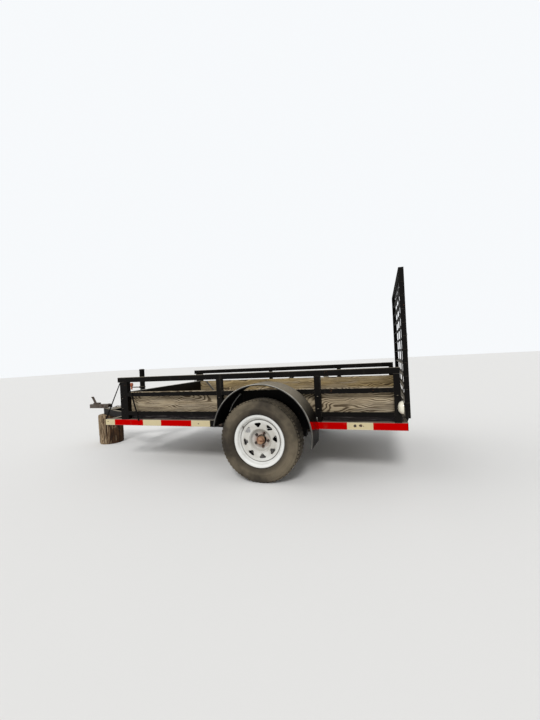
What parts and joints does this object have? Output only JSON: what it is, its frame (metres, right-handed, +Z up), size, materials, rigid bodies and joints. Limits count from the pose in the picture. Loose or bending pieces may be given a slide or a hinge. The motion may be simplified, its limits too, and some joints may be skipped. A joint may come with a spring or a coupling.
{
  "type": "utility trailer",
  "caption": "Single-axle utility trailer with low open sides, plank deck, wide side boards, tall ramp gate, A-frame tongue on a log stump, fenders and a tongue jack.",
  "frame": {"origin": "on the ground, midway between the coupler's tip and the hinge lugs, on the centre line", "axes": "+X to the rear gate, -X to the coupler, -Y is the side nearest the camera in the picture, +Z up; metres, ground at z = 0"},
  "size_m": [4.0168, 2.048, 1.65],
  "materials": {
    "black_paint": "worn satin black with dust on upper edges",
    "board_wood": "weathered board with strong grain",
    "deck_wood": "weathered planks",
    "grip_orange": "faded orange",
    "lamp_ivory": "pale, semi-gloss",
    "log_wood": "sawn log with rough bark",
    "plate_metal": "blank, dull",
    "rim_paint": "light grey, dusty",
    "rusty_steel": "rusty",
    "tyre_rubber": "dusty rubber",
    "worn_steel": "worn steel, dull"
  },
  "bodies": {
    "trailer": {"axle": "black_paint", "bottom_rails": "black_paint", "corner_braces": "black_paint", "coupler_body": "worn_steel", "coupler_latch": "worn_steel", "cross_members": "black_paint", "deck_planks": "deck_wood", "fender_far": "black_paint", "fender_near": "black_paint", "front_braces": "black_paint", "front_wall": "black_paint", "front_wall_angle": "black_paint", "hinge_lugs": "black_paint", "jack_bracket": "black_paint", "jack_crank": "worn_steel", "jack_grip": "grip_orange", "jack_tube": "black_paint", "leaf_springs": "black_paint", "log_stump": "log_wood", "mid_rails": "black_paint", "nose_plate": "black_paint", "outer_straps": "black_paint", "posts": "black_paint", "rear_lamps": "lamp_ivory", "safety_chains": "worn_steel", "side_board_far": "board_wood", "side_board_near": "board_wood", "side_rail_far": "black_paint", "side_rail_near": "black_paint", "spring_hangers": "black_paint", "tie_plates": "black_paint", "tongue_cross_member": "black_paint", "tongue_leg_far": "black_paint", "tongue_leg_near": "black_paint", "top_rail_far": "black_paint", "top_rail_near": "black_paint", "u_bolts": "black_paint", "wheel_plates": "black_paint"},
    "wheel_near": {"hub_cap_near": "rusty_steel", "hub_near": "black_paint", "lug_nuts_near": "worn_steel", "rim_near": "rim_paint", "tyre_near": "tyre_rubber"},
    "wheel_far": {"hub_cap_far": "rusty_steel", "hub_far": "black_paint", "lug_nuts_far": "worn_steel", "rim_far": "rim_paint", "tyre_far": "tyre_rubber"},
    "gate": {"blank_plate": "plate_metal", "gate_bars": "black_paint", "gate_end_rails": "black_paint", "gate_hinges": "black_paint", "gate_side_rails": "black_paint", "gate_uprights": "black_paint"},
    "jack_leg": {"jack_leg": "worn_steel"}
  },
  "joints": [
    {"name": "wheel_near_spin", "type": "hinge", "parent": "trailer", "child": "wheel_near", "pos_m": [0.8315, -0.9195, 0.338], "axis": [0, 1, 0], "continuous": true},
    {"name": "wheel_far_spin", "type": "hinge", "parent": "trailer", "child": "wheel_far", "pos_m": [0.8315, 0.9195, 0.338], "axis": [0, 1, 0], "continuous": true},
    {"name": "gate_hinge", "type": "hinge", "parent": "trailer", "child": "gate", "pos_m": [1.9935, 0, 0.47], "axis": [0, 1, 0], "range_deg": [0, 112]},
    {"name": "jack_slide", "type": "slide", "parent": "trailer", "child": "jack_leg", "axis": [0, 0, -1], "range_m": [0, 0.25]}
  ]
}
